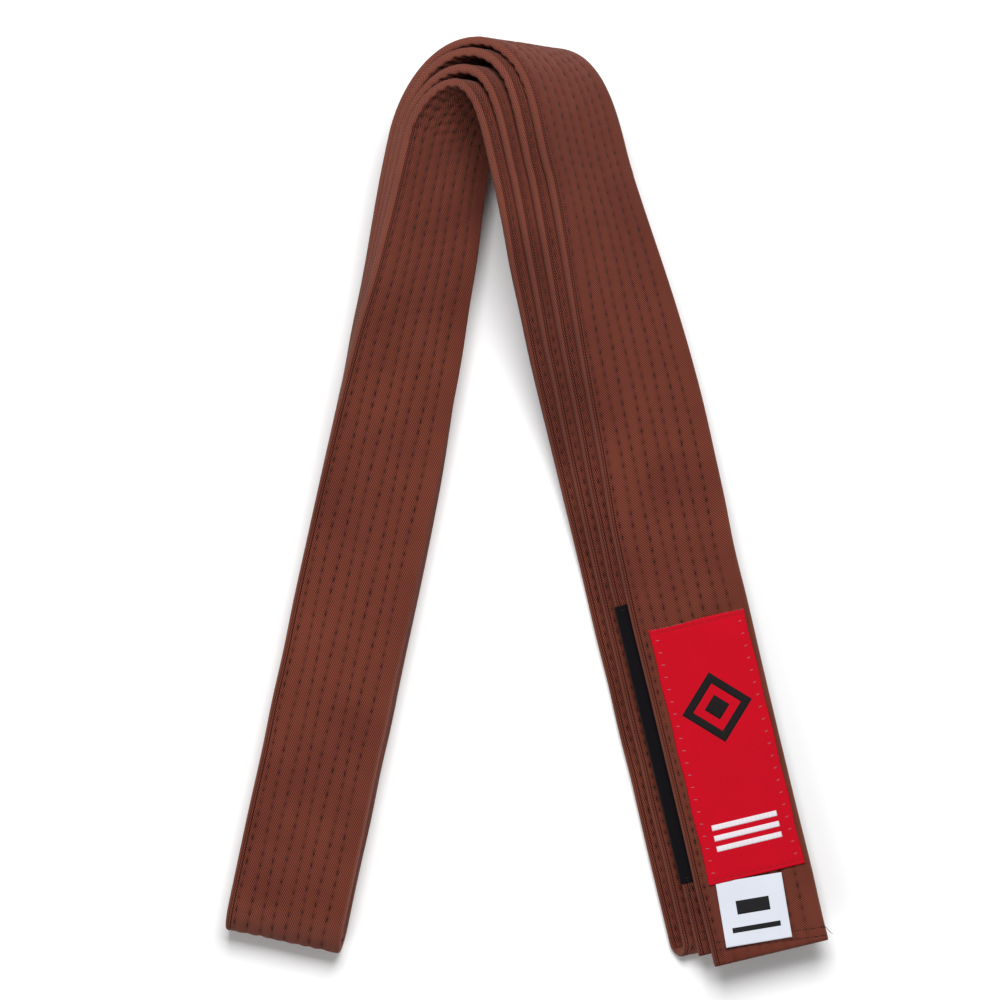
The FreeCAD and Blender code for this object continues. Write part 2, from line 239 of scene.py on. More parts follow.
routeLength, routeMiddle, routeAcross, routeNormal, layerPlaces = layStrip()
stripLength = routeLength[-1]


def lengthAt(layerName, t):
    # how far along the strip a layer passes course position t
    courseT, lengths = layerPlaces[layerName]
    if courseT[0] > courseT[-1]:
        courseT, lengths = courseT[::-1], lengths[::-1]
    return float(np.interp(t, courseT, lengths))


def stripFrame(s):
    # middle, across and normal at lengths s, whatever their shape
    def column(table):
        return np.stack([np.interp(s, routeLength, table[:, axis]) for axis in range(3)], -1)
    return column(routeMiddle), column(routeAcross), unit(column(routeNormal))


bendReach = 0.008


def bendAt(s):
    # curvature towards the normal: above 0 where the outer face is hollow
    ahead, here, back = (stripFrame(s + shift)[0] for shift in (bendReach, 0.0, -bendReach))
    second = (ahead - 2 * here + back) / bendReach**2
    return np.sum(second * stripFrame(s)[2], -1)


print("strip laid:", round(stripLength, 3), "m")


quilting = {
    "rows": 8,
    "first": 0.0038 - belt["width"] / 2,
    "pitch": 0.005,
    "stitch": 0.0046,
    "wave": 0.07,  # of a row's pitch
    "waveLength": 0.083,
    "rowTurn": 2.1,
    "rowShift": 0.37,
    "drift": 0.35,  # of a stitch
    "driftLength": 0.31,
    "channelDepth": 0.00010,
    "channelWidth": 0.0013,
    "pitDepth": 0.00055,
    "pitWidth": 0.0008,
    "pitLength": 0.0014,
    "grooveDepth": 0.0002,  # shallow grooves that run across from row to row
    "grooveWidth": 0.0010,
    "grooveReach": 0.0021,
    "seams": (0.00115, 0.0021),  # from the near edge
    "seamDepths": (0.00022, 0.00034),
    "seamWidth": 0.00022,
    "puckerDepth": 0.0012,
    "puckerGain": 0.032,  # how fast the puckers grow with the bend
    "puckerStart": 0.25,
    "sag": 0.00012,
    "threadRadius": 0.00013,
    "threadSunk": 0.00004,
}


def rowWave(s, q):
    # how far a row wanders sideways, in pitches
    return quilting["wave"] * np.sin(2 * np.pi * s / quilting["waveLength"] + quilting["rowTurn"] * q)


def stitchPhase(s, row):
    # counts the stitches along a row; a whole number is a stitch hole
    phase = s / quilting["stitch"] + quilting["rowShift"] * row
    return phase + quilting["drift"] * np.sin(2 * np.pi * s / quilting["driftLength"] + row)


def quiltPlace(s, a):
    # nearest row, distance from it, and distance along it from the nearest stitch hole
    q = (a - quilting["first"]) / quilting["pitch"]
    r = q + rowWave(s, q)
    row = np.clip(np.round(r), 0, quilting["rows"] - 1)
    phase = stitchPhase(s, row)
    return row, (r - row) * quilting["pitch"], (phase - np.round(phase)) * quilting["stitch"]


def rowMiddle(row, s):
    return quilting["first"] + quilting["pitch"] * (row - rowWave(s, row))


barPlace = {
    "end": stripLength - 0.0291,
    "start": stripLength - 0.1400,
    "drawIn": 0.78,  # how much of the thickness is left under the rank bar
}


def thicknessShare(s):
    # the second layer is drawn in under the rank bar; the two hems are pressed down in faceHeight
    # instead
    fromStart, fromEnd = s - barPlace["start"], barPlace["end"] - s
    under = smooth((fromStart + 0.001) / 0.002) * smooth((fromEnd + 0.001) / 0.002)
    return 1 - (1 - barPlace["drawIn"]) * under


hem = {
    "rows": ((0.0042, -0.095), (0.0074, -0.09)),  # distance from the end, and its change across
    "dipDepth": 0.00025,
    "dipWidth": 0.0007,
    "quiltStart": 0.009,  # the quilting begins here, its slits and its thread a little later
    "slitStart": 0.0095,
    "threadStart": 0.010,
    "dashes": (-0.0205, 0.0205, 0.0031, 0.0026),  # first, last, step and length
    "threadRadius": 0.0002,
}


def hemDip(s, a):
    # two rows of stitching across each free end press the cloth down
    dip = 0.0
    for back, tilt in hem["rows"]:
        for end in (back + tilt * a, stripLength - back - tilt * a):
            dip = dip + np.exp(-(((s - end) / hem["dipWidth"]) ** 2))
    return dip


def faceHeight(s, a, face, bend):
    # half the thickness, less channels, stitch pits and seams, plus puckers where the face is hollow
    row, aside, along = quiltPlace(s, a)
    endMargin = np.minimum(s, stripLength - s)
    quilted = smooth((endMargin - hem["quiltStart"]) / 0.002)
    channel = quilting["channelDepth"] * np.exp(-((aside / quilting["channelWidth"]) ** 2))
    pit = np.exp(-((aside / quilting["pitWidth"]) ** 2) - (along / quilting["pitLength"]) ** 2)
    groove = np.exp(-((aside / quilting["grooveReach"]) ** 2) - (along / quilting["grooveWidth"]) ** 2)
    height = -quilted * (channel + quilting["pitDepth"] * pit + quilting["grooveDepth"] * groove)
    near = a + belt["width"] / 2
    for place, depth in zip(quilting["seams"], quilting["seamDepths"]):
        height = height - depth * np.exp(-(((near - place) / quilting["seamWidth"]) ** 2))
    height = height - hem["dipDepth"] * hemDip(s, a)
    hollow = np.clip(face * bend * quilting["puckerGain"] - quilting["puckerStart"], 0, 1)
    crease = 0.5 - 0.5 * np.cos(2 * np.pi * along / quilting["stitch"])
    lump = 0.5 + 0.5 * np.sin(1900 * a + 500 * s + 3 * np.sin(310 * s + row * 2.3))
    height = height - quilting["puckerDepth"] * hollow * (1 - crease) * (0.35 + 0.65 * lump)
    sag = np.sin(74 * s + 61 * a) * np.sin(29 * s - 140 * a + face)
    height = height - quilting["sag"] * (1 + sag)
    return belt["thickness"] / 2 * thicknessShare(s) + height


def gridFaces(rings, points, wrapAlong=False):
    # quads between neighbouring rings, each ring closed on itself
    i = np.arange(rings if wrapAlong else rings - 1)[:, None]
    j = np.arange(points)[None, :]
    nextRing, nextPoint = (i + 1) % rings, (j + 1) % points
    return np.stack([i * points + j, i * points + nextPoint,
                     nextRing * points + nextPoint, nextRing * points + j], -1).reshape(-1, 4)


def addMesh(name, vertices, quads, uv, material, caps=(), attributes=None):
    # quads and a few many-sided caps, with one uv per vertex
    mesh = bpy.data.meshes.new(name)
    loops = np.concatenate([quads.ravel()] + [np.asarray(cap) for cap in caps]).astype(np.int32)
    counts = [4] * len(quads) + [len(cap) for cap in caps]
    starts = np.concatenate([[0], np.cumsum(counts)[:-1]]).astype(np.int32)
    mesh.vertices.add(len(vertices))
    mesh.vertices.foreach_set("co", np.asarray(vertices, np.float32).ravel())
    mesh.loops.add(len(loops))
    mesh.loops.foreach_set("vertex_index", loops)
    mesh.polygons.add(len(counts))
    mesh.polygons.foreach_set("loop_start", starts)
    flat = np.zeros(len(counts), bool)
    flat[len(quads):] = True
    mesh.update(calc_edges=True)
    mesh.polygons.foreach_set("use_smooth", ~flat)
    if caps:
        # the edges round each cap are sharp, so that two pieces meet without a line
        edgeEnds = np.zeros(len(mesh.edges) * 2, np.int64)
        mesh.edges.foreach_get("vertices", edgeEnds)
        rim = np.concatenate([np.stack([cap, np.roll(cap, -1)], 1) for cap in caps]).astype(np.int64)
        numbering = np.array([len(vertices), 1])
        edgeKeys = np.sort(edgeEnds.reshape(-1, 2), 1) @ numbering
        rimKeys = np.sort(rim, 1) @ numbering
        mesh.edges.foreach_set("use_edge_sharp", np.isin(edgeKeys, rimKeys))
    layer = mesh.uv_layers.new(name="weave")
    layer.data.foreach_set("uv", np.asarray(uv, np.float32)[loops].ravel())
    for key, values in (attributes or {}).items():
        made = mesh.attributes.new(key, "FLOAT", "POINT")
        made.data.foreach_set("value", np.asarray(values, np.float32))
    mesh.validate()
    mesh.materials.append(material)
    piece = bpy.data.objects.new(name, mesh)
    bpy.context.collection.objects.link(piece)
    return piece


# edges are pale from wear and partly a painted highlight, most of all along the left foot
edgeWearAndHighlight = {"everywhere": 0.4, "leftFoot": 1.2, "middle": 0.045, "reach": 0.075}


def profileAcross():
    # across values of one face, from the near edge to the far one, closer together beside the seams
    flat = belt["width"] / 2 - belt["edgeRadius"]
    fine = -flat + np.array([0, 0.00018, 0.00034, 0.0005, 0.00066, 0.00082, 0.00104, 0.0014])
    rest = np.linspace(-flat + 0.002, flat, 60)
    return np.concatenate([fine, rest])


def edgeCurve(turn):
    # a squarish half circle: sine and cosine, each to the power 0.8
    return np.sign(np.sin(turn)) * np.abs(np.sin(turn)) ** 0.8, np.abs(np.cos(turn)) ** 0.8


def stripRings(s, endRound=0.0):
    # one closed ring at each length s: near edge, outer face, far edge, inner face
    faceA = profileAcross()
    turn = np.radians(np.linspace(-90, 90, 11)[1:-1])
    bulge, reach = edgeCurve(turn)
    flat = belt["width"] / 2 - belt["edgeRadius"]
    a = np.concatenate([-flat - belt["edgeRadius"] * reach, faceA,
                        flat + belt["edgeRadius"] * reach, faceA[::-1]])
    wrap = flat + belt["edgeCloth"] * (1 - np.abs(turn) / (np.pi / 2))
    clothA = np.concatenate([-wrap, faceA, wrap, faceA[::-1]])
    share = np.concatenate([bulge, np.ones(len(faceA)), -bulge, -np.ones(len(faceA))])
    side, aside = s[:, None], np.repeat(a[None], len(s), 0)
    face = np.sign(share)[None]
    bend = bendAt(s)[:, None]
    height = np.abs(share) * faceHeight(side, aside, np.where(face == 0, 1, face), bend)
    if endRound:
        # a hem rounds off towards a free end
        back = np.clip(np.minimum(side, stripLength - side) / endRound, 0, 1)
        fullness = np.sqrt(np.maximum(0.0, 1 - (1 - back) ** 2))
        height = height * (belt["endThin"] + (1 - belt["endThin"]) * fullness)
        aside = aside * (1 - belt["endNarrow"] * (1 - fullness))
    # the edges wander in by a slow uneven wave
    aside = aside * (1 - belt["edgeWander"] * (1 + np.sin(95 * side + 2 * np.sin(37 * side))))
    middle, across, normal = stripFrame(s)
    points = middle[:, None] + across[:, None] * aside[..., None]
    points = points + normal[:, None] * (height * np.where(face == 0, 1, face))[..., None]
    uv = np.stack(np.broadcast_arrays(clothA[None], side), -1)
    # pale on the outside of sharp bends, from wear and partly a painted highlight where the folds
    # catch the light
    wearAndHighlight = np.clip(bend * np.where(face > 0, -1, 1) * 0.004, 0, 1) ** 1.5
    rolled = 1 - np.clip((belt["width"] / 2 - np.abs(a)) / 0.0012, 0, 1)
    fromFoot = np.abs(side - lengthAt("inner", 0.0) - edgeWearAndHighlight["middle"]) / edgeWearAndHighlight["reach"]
    paleEdge = edgeWearAndHighlight["everywhere"] + edgeWearAndHighlight["leftFoot"] * smooth(1.3 - fromFoot) * (a > 0)
    return points, uv, np.maximum(wearAndHighlight, paleEdge * rolled)


def evenLengths(start, end, roundStart=False, roundEnd=False):
    count = max(2, int(round((end - start) / belt["step"])) + 1)
    s = np.linspace(start, end, count)
    closeUp = np.array([0.0, 0.00008, 0.00025, 0.0005, 0.0009, 0.0014])
    if roundStart:
        s = np.concatenate([start + closeUp, s[s > start + 0.0018]])
    if roundEnd:
        s = np.concatenate([s[s < end - 0.0018], end - closeUp[::-1]])
    return s


def addStrip(name, start, end, material, roundStart=False, roundEnd=False):
    s = evenLengths(start, end, roundStart, roundEnd)
    points, uv, wearAndHighlight = stripRings(s, belt["endRound"] if roundStart or roundEnd else 0.0)
    rings, count = points.shape[:2]
    caps = [list(range(count))[::-1], list(range((rings - 1) * count, rings * count))]
    return addMesh(name, points.reshape(-1, 3), gridFaces(rings, count), uv.reshape(-1, 2), material,
                   caps, {"wearAndHighlight": wearAndHighlight.ravel()})


def join(tree, source, target):
    if isinstance(source, (int, float)):
        target.default_value = source
    else:
        tree.links.new(source, target)


def calc(tree, operation, first, second=0.0, third=None):
    node = tree.nodes.new("ShaderNodeMath")
    node.operation = operation
    join(tree, first, node.inputs[0])
    join(tree, second, node.inputs[1])
    if third is not None:
        join(tree, third, node.inputs[2])
    return node.outputs[0]


def bellCurve(tree, distance, width):
    # e to the minus square of distance over width
    share = calc(tree, "DIVIDE", distance, width)
    return calc(tree, "EXPONENT", calc(tree, "MULTIPLY", calc(tree, "MULTIPLY", share, share), -1.0))


def mixColour(tree, share, first, second):
    node = tree.nodes.new("ShaderNodeMix")
    node.data_type = "RGBA"
    join(tree, share, node.inputs[0])
    for value, socket in ((first, node.inputs[6]), (second, node.inputs[7])):
        if isinstance(value, tuple):
            socket.default_value = (*value, 1.0)
        else:
            tree.links.new(value, socket)
    return node.outputs[2]


def noise(tree, vector, scale, detail=2.0):
    node = tree.nodes.new("ShaderNodeTexNoise")
    node.inputs["Scale"].default_value = scale
    node.inputs["Detail"].default_value = detail
    tree.links.new(vector, node.inputs["Vector"])
    return node.outputs[0]


def fromSrgb(red, green, blue):
    def linear(c):
        c = c / 255
        return c / 12.92 if c <= 0.04045 else ((c + 0.055) / 1.055) ** 2.4
    return linear(red), linear(green), linear(blue)


def startMaterial(name, roughness, sheen):
    material = bpy.data.materials.new(name)
    material.use_nodes = True
    shader = material.node_tree.nodes["Principled BSDF"]
    shader.inputs["Roughness"].default_value = roughness
    shader.inputs["Sheen Weight"].default_value = sheen
    shader.inputs["Sheen Roughness"].default_value = 0.45
    shader.inputs["Specular IOR Level"].default_value = 0.12
    return material, material.node_tree, shader


def weaveUv(tree):
    # across and along the strip, in metres
    uv = tree.nodes.new("ShaderNodeUVMap")
    uv.uv_map = "weave"
    parts = tree.nodes.new("ShaderNodeSeparateXYZ")
    tree.links.new(uv.outputs[0], parts.inputs[0])
    return parts.outputs[0], parts.outputs[1]


def objectPlace(tree):
    return tree.nodes.new("ShaderNodeTexCoord").outputs["Object"]


def addBump(tree, shader, height, distance, strength=1.0):
    bump = tree.nodes.new("ShaderNodeBump")
    bump.inputs["Distance"].default_value = distance
    bump.inputs["Strength"].default_value = strength
    tree.links.new(height, bump.inputs["Height"])
    tree.links.new(bump.outputs[0], shader.inputs["Normal"])


def ribs(tree, across, along, acrossRate, alongRate):
    # sine ribs, from 0 to 1, with so many ribs a metre each way
    turns = calc(tree, "ADD", calc(tree, "MULTIPLY", across, acrossRate),
                 calc(tree, "MULTIPLY", along, alongRate))
    wave = calc(tree, "SINE", calc(tree, "MULTIPLY", turns, 2 * math.pi))
    return calc(tree, "MULTIPLY_ADD", wave, 0.5, 0.5)


cottonLook = {
    "brown": fromSrgb(125, 65, 50),
    "dark": fromSrgb(58, 19, 13),
    # pale: worn cloth, and partly a painted highlight on folds and edges
    "pale": fromSrgb(156, 100, 86),
    # hole: a near-black painted shade for stitch holes, channels, dimples and the shadow beside the
    # lip, and also the seam line's colour
    "hole": fromSrgb(26, 6, 4),
    "twillPitch": 0.00068,
    "yarnPitch": 0.00042,
    "slitWidth": 0.00023,
    "slitLength": 0.0005,
    "slitUneven": 0.0007,  # the longest slits are longer by this
    "dimpleWidth": 0.0008,
    "dimpleLength": 0.0017,
    # painted shade in the dents round the stitch holes and along each row's channel
    "dimplePaintedShade": 0.2,
    "channelPaintedShade": 0.06,
    "seamWidth": 0.00021,
    # the first line is a painted shadow of the rolled lip, the second the seam's own dark line
    "lipShadowAndSeamShades": (0.7, 1.0),
    "bumpHeight": 0.00016,
}


def makeCotton():
    # twill ribs, uneven dye, painted shade in stitch holes, channels and dimples, a painted shadow
    # beside the edge lip, the dark seam line, and edges and folds pale from wear and partly a painted
    # highlight
    look = cottonLook
    material, tree, shader = startMaterial("brownTwill", 0.92, 0.07)
    shader.inputs["Sheen Tint"].default_value = (1.0, 0.78, 0.72, 1.0)
    across, along = weaveUv(tree)
    rate = 0.707 / look["twillPitch"]
    twill = ribs(tree, across, along, rate, rate * 0.85)
    yarn = ribs(tree, across, along, 0.0, 1 / look["yarnPitch"])
    place = objectPlace(tree)
    dye = noise(tree, place, 34.0, 4.0)
    fuzz = noise(tree, place, 2600.0, 2.0)
    q = calc(tree, "DIVIDE", calc(tree, "SUBTRACT", across, quilting["first"]), quilting["pitch"])
    turn = calc(tree, "MULTIPLY_ADD", along, 2 * math.pi / quilting["waveLength"],
                calc(tree, "MULTIPLY", q, quilting["rowTurn"]))
    r = calc(tree, "MULTIPLY_ADD", calc(tree, "SINE", turn), quilting["wave"], q)
    row = calc(tree, "MAXIMUM", calc(tree, "ROUND", r), 0.0)
    row = calc(tree, "MINIMUM", row, quilting["rows"] - 1.0)
    aside = calc(tree, "MULTIPLY", calc(tree, "SUBTRACT", r, row), quilting["pitch"])
    phase = calc(tree, "MULTIPLY_ADD", along, 1 / quilting["stitch"],
                 calc(tree, "MULTIPLY", row, quilting["rowShift"]))
    driftTurn = calc(tree, "MULTIPLY_ADD", along, 2 * math.pi / quilting["driftLength"], row)
    phase = calc(tree, "MULTIPLY_ADD", calc(tree, "SINE", driftTurn), quilting["drift"], phase)
    hole = calc(tree, "ROUND", phase)
    step = calc(tree, "MULTIPLY", calc(tree, "SUBTRACT", phase, hole), quilting["stitch"])
    pick = tree.nodes.new("ShaderNodeCombineXYZ")
    tree.links.new(row, pick.inputs[0])
    tree.links.new(hole, pick.inputs[1])
    chance = tree.nodes.new("ShaderNodeTexWhiteNoise")
    tree.links.new(pick.outputs[0], chance.inputs["Vector"])
    # the stitch holes are darkened with a painted shade, and dented by the bump
    slitLength = calc(tree, "MULTIPLY_ADD", chance.outputs[0], look["slitUneven"], look["slitLength"])
    slit = calc(tree, "MULTIPLY", bellCurve(tree, aside, look["slitWidth"]),
                bellCurve(tree, step, slitLength))
    slit = calc(tree, "MULTIPLY", slit, calc(tree, "MULTIPLY_ADD", chance.outputs[0], 0.5, 0.7))
    fromEnd = calc(tree, "MINIMUM", along, calc(tree, "SUBTRACT", stripLength, along))
    slit = calc(tree, "MULTIPLY", slit, calc(tree, "GREATER_THAN", fromEnd, hem["slitStart"]))
    # painted shade along each row's channel and in the dimple round each stitch hole
    paintedDimpleShade = calc(tree, "MULTIPLY", bellCurve(tree, aside, look["dimpleWidth"]),
                  bellCurve(tree, step, look["dimpleLength"]))
    channel = calc(tree, "MULTIPLY_ADD", bellCurve(tree, aside, look["dimpleWidth"]),
                   look["channelPaintedShade"], calc(tree, "MULTIPLY", paintedDimpleShade, look["dimplePaintedShade"]))
    near = calc(tree, "ADD", across, belt["width"] / 2)
    # two dark lines beside the near edge: a painted shadow of the lip, then the seam's dark line
    seam = None
    for seamPlace, strength in zip(quilting["seams"], look["lipShadowAndSeamShades"]):
        line = bellCurve(tree, calc(tree, "SUBTRACT", near, seamPlace), look["seamWidth"])
        line = calc(tree, "MULTIPLY", line, strength)
        seam = line if seam is None else calc(tree, "MAXIMUM", seam, line)
    shade = calc(tree, "MULTIPLY_ADD", twill, -0.95, 0.95)
    shade = calc(tree, "MULTIPLY_ADD", dye, 0.6, calc(tree, "SUBTRACT", shade, 0.30))
    colour = mixColour(tree, shade, look["brown"], look["dark"])
    # the pale colour mixed in by this attribute is wear and partly a painted highlight on folds and
    # edges
    wearAndHighlight = tree.nodes.new("ShaderNodeAttribute")
    wearAndHighlight.attribute_name = "wearAndHighlight"
    paleWearAndHighlight = calc(tree, "MULTIPLY", wearAndHighlight.outputs["Fac"], calc(tree, "MULTIPLY_ADD", fuzz, 0.7, 0.05))
    colour = mixColour(tree, paleWearAndHighlight, colour, look["pale"])
    # painted shade in the stitch holes, channels and dimples and beside the lip, plus the dark seam
    # line, all in the near-black colour
    paintedShadeAndSeamLine = calc(tree, "MAXIMUM", calc(tree, "MAXIMUM", slit, seam), channel)
    colour = mixColour(tree, paintedShadeAndSeamLine, colour, look["hole"])
    tree.links.new(colour, shader.inputs["Base Color"])
    height = calc(tree, "MULTIPLY_ADD", twill, 0.55, calc(tree, "MULTIPLY", yarn, 0.25))
    height = calc(tree, "MULTIPLY_ADD", fuzz, 0.5, height)
    height = calc(tree, "SUBTRACT", height, calc(tree, "MULTIPLY", slit, 2.2))
    addBump(tree, shader, height, look["bumpHeight"])
    return material


def makePlainCloth(name, light, dark, roughness, sheen, acrossRate, alongRate, depth):
    # a plain weave with ribs both ways and slightly uneven colour
    material, tree, shader = startMaterial(name, roughness, sheen)
    across, along = weaveUv(tree)
    warp = ribs(tree, across, along, acrossRate, 0.0)
    weft = ribs(tree, across, along, 0.0, alongRate)
    weave = calc(tree, "MULTIPLY", warp, weft)
    place = objectPlace(tree)
    cloud = noise(tree, place, 90.0, 3.0)
    fuzz = noise(tree, place, 3000.0, 1.0)
    shade = calc(tree, "MULTIPLY_ADD", weave, -0.5, 0.5)
    shade = calc(tree, "MULTIPLY_ADD", cloud, 0.3, shade)
    colour = mixColour(tree, shade, fromSrgb(*light), fromSrgb(*dark))
    tree.links.new(colour, shader.inputs["Base Color"])
    addBump(tree, shader, calc(tree, "MULTIPLY_ADD", fuzz, 0.4, weave), depth, 0.8)
    return material


cotton = makeCotton()
# light colour, dark colour, roughness, sheen, ribs a metre across and along, and depth of the weave
plainCloths = {
    "brownThread": ((106, 49, 38), (74, 29, 21), 0.85, 0.05, 900, 4200, 0.00005),
    "darkBrownThread": ((52, 22, 18), (30, 12, 10), 0.7, 0.2, 900, 4200, 0.00005),
    "rankBlack": ((15, 12, 18), (6, 5, 7), 0.9, 0.02, 1500, 1500, 0.00008),
    "blackThread": ((22, 19, 22), (8, 7, 8), 0.6, 0.2, 900, 4200, 0.00005),
    "patchRed": ((206, 2, 31), (162, 0, 21), 0.8, 0.02, 2100, 2700, 0.00008),
    "silverThread": ((158, 140, 150), (104, 84, 96), 0.5, 0.2, 900, 4200, 0.00005),
    "redThread": ((120, 8, 26), (70, 2, 12), 0.6, 0.2, 900, 4200, 0.00005),
    "frayThread": ((214, 96, 106), (180, 50, 62), 0.8, 0.05, 900, 4200, 0.00003),
    "figureBlack": ((22, 14, 16), (6, 3, 4), 0.6, 0.2, 600, 2700, 0.00008),
    "figureWhite": ((236, 232, 236), (196, 190, 198), 0.6, 0.2, 600, 2700, 0.00008),
    "tabWhite": ((222, 226, 236), (196, 201, 212), 0.7, 0.03, 2800, 2800, 0.00004),
    "printBlack": ((34, 34, 38), (12, 12, 14), 0.6, 0.05, 2800, 2800, 0.00003),
}
plain = {name: makePlainCloth(name, *look) for name, look in plainCloths.items()}
print("materials made")


linkTop = lengthAt("outer", rightAt(-0.012))
linkMiddle = lengthAt("outer", rightAt(-0.038))
footEnd = lengthAt("inner", 0.0)
innerStart, innerEnd = lengthAt("outer", 0.02), lengthAt("inner", rightAt(belt["loopFootY"]))
thirdEnd = lengthAt("third", 0.0)
secondTop = lengthAt("second", rightAt(-0.012))

labelEnd = addStrip("labelEnd", 0.0, linkMiddle, cotton, roundStart=True)
labelLink = addStrip("labelLink", linkMiddle, linkTop, cotton)
outerLayer = addStrip("outerLayer", linkTop, innerStart, cotton)
innerLayer = addStrip("innerLayer", innerStart, innerEnd, cotton)
thirdLayer = addStrip("thirdLayer", innerEnd, thirdEnd, cotton)
secondLayer = addStrip("secondLayer", thirdEnd, secondTop, cotton)
barEnd = addStrip("barEnd", secondTop, stripLength, cotton, roundEnd=True)
print("belt made")

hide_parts("cover_label_end", "core_label_end")
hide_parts("cover_label_link", "core_label_link")
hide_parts("cover_outer_right_turn", "cover_outer_crown", "cover_outer_left_turn",
            "cover_outer_left_run", "core_long")
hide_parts("cover_outer_fold", "cover_inner_left_run", "cover_inner_left_turn",
            "cover_inner_crown", "cover_inner_right_turn", "cover_inner_right_run")
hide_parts("cover_middle_loop", "cover_third_right_run", "cover_third_right_turn",
            "cover_third_crown", "cover_third_left_turn", "cover_third_left_run")
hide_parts("cover_inner_fold", "cover_second_left_run", "cover_second_left_turn",
            "cover_second_crown", "cover_second_right_turn")
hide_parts("cover_bar_end", "core_bar_end")
for piece in (outerLayer, innerLayer, thirdLayer, secondLayer):
    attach(piece, "root")


def threadTubes(name, centres, sides, tops, radius, material):
    # short thin tubes: centres (n, k, 3), with unit side and top directions, thinner at both ends
    count, points = centres.shape[:2]
    angle = np.linspace(0, 2 * np.pi, 6, endpoint=False)
    taper = np.sqrt(np.clip(1 - (np.linspace(-1, 1, points) ** 6) * 0.8, 0, 1))
    around = sides[:, :, None] * np.cos(angle)[None, None, :, None]
    around = around + tops[:, :, None] * np.sin(angle)[None, None, :, None]
    vertices = centres[:, :, None] + around * (radius * taper)[None, :, None, None]
    single = gridFaces(points, 6)
    quads = (single[None] + (np.arange(count) * points * 6)[:, None, None]).reshape(-1, 4)
    caps = []
    for number in range(count):
        first = number * points * 6
        caps.append(list(range(first, first + 6))[::-1])
        caps.append(list(range(first + (points - 1) * 6, first + points * 6)))
    steps = np.linalg.norm(np.diff(centres, axis=1), axis=2)
    lengths = np.concatenate([np.zeros((count, 1)), np.cumsum(steps, 1)], 1)
    uv = np.stack(np.broadcast_arrays(angle[None, None, :] * radius, lengths[:, :, None]), -1)
    return addMesh(name, vertices.reshape(-1, 3), quads, uv.reshape(-1, 2), material, caps)


def stitchesOnFace(name, start, end, face):
    # from hole to hole along each row, half sunk in its channel
    places = []
    for row in range(quilting["rows"]):
        fine = np.arange(start, end + 0.006, 0.0002)
        phase = stitchPhase(fine, row)
        last = np.interp(end, fine, phase)
        number = np.arange(math.ceil(phase[0]), math.ceil(last))[:, None]
        number = number + np.linspace(0.13, 0.87, 6)[None, :]
        s = np.interp(number, phase, fine)
        places.append((s, np.full_like(s, row)))
    s = np.concatenate([place[0] for place in places])
    row = np.concatenate([place[1] for place in places])
    a = rowMiddle(row, s)
    middle, across, normal = stripFrame(s)
    height = faceHeight(s, a, face, bendAt(s)) - quilting["threadSunk"]
    centres = middle + across * a[..., None] + normal * (face * height)[..., None]
    return threadTubes(name, centres, unit(across), normal * face, quilting["threadRadius"],
                       plain["brownThread"])


labelStitches = stitchesOnFace("labelEndStitches", hem["threadStart"], linkMiddle, 1)
linkStitches = stitchesOnFace("labelLinkStitches", linkMiddle, linkTop, 1)
outerStitches = stitchesOnFace("outerFaceStitches", linkTop, footEnd - 0.225, 1)
openLegStitches = stitchesOnFace("openLegStitches", footEnd - 0.014, lengthAt("inner", 2.0), 1)
barEndStitches = stitchesOnFace("barEndStitches", barPlace["end"] + 0.001,
                                stripLength - hem["threadStart"], -1)
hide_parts("quilting_label_end")
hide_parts("quilting_label_link")
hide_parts("quilting_label_side")
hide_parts("quilting_open_leg")
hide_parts("quilting_bar_end")


def dashes(first, last, step, length):
    # five points along each dash of a row across the strip
    return np.arange(first, last, step)[:, None] + np.linspace(0.0002, length, 5)[None, :]


def hemStitches(name, fromEnd, face):
    # dashes across the strip in two rows that aren't quite parallel
    s, a = [], []
    for back, tilt in hem["rows"]:
        place = dashes(*hem["dashes"])
        a.append(place)
        s.append(np.abs(fromEnd - (back + tilt * place)))
    s, a = np.concatenate(s), np.concatenate(a)
    middle, across, normal = stripFrame(s)
    height = faceHeight(s, a, face, np.zeros_like(s)) + 0.00008
    centres = middle + across * a[..., None] + normal * (face * height)[..., None]
    heading = unit(np.cross(normal, across))
    return threadTubes(name, centres, heading, normal * face, hem["threadRadius"],
                       plain["darkBrownThread"])


labelHem = hemStitches("labelEndHem", 0.0, 1)
barHem = hemStitches("barEndHem", stripLength, -1)
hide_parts("hem_stitches_label_end")
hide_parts("hem_stitches_bar_end")
print("stitches made")


rankBar = {
    "wall": 0.00045,
    "side": 0.0003,
    "hemLength": 0.006,
    "hemRise": 0.00012,
    "radius": 0.0014,
    "seam": 0.0018,
    "dashes": (-0.0215, 0.0195, 0.0029, 0.0024),  # first, last, step and length
    "threadRadius": 0.00015,
}


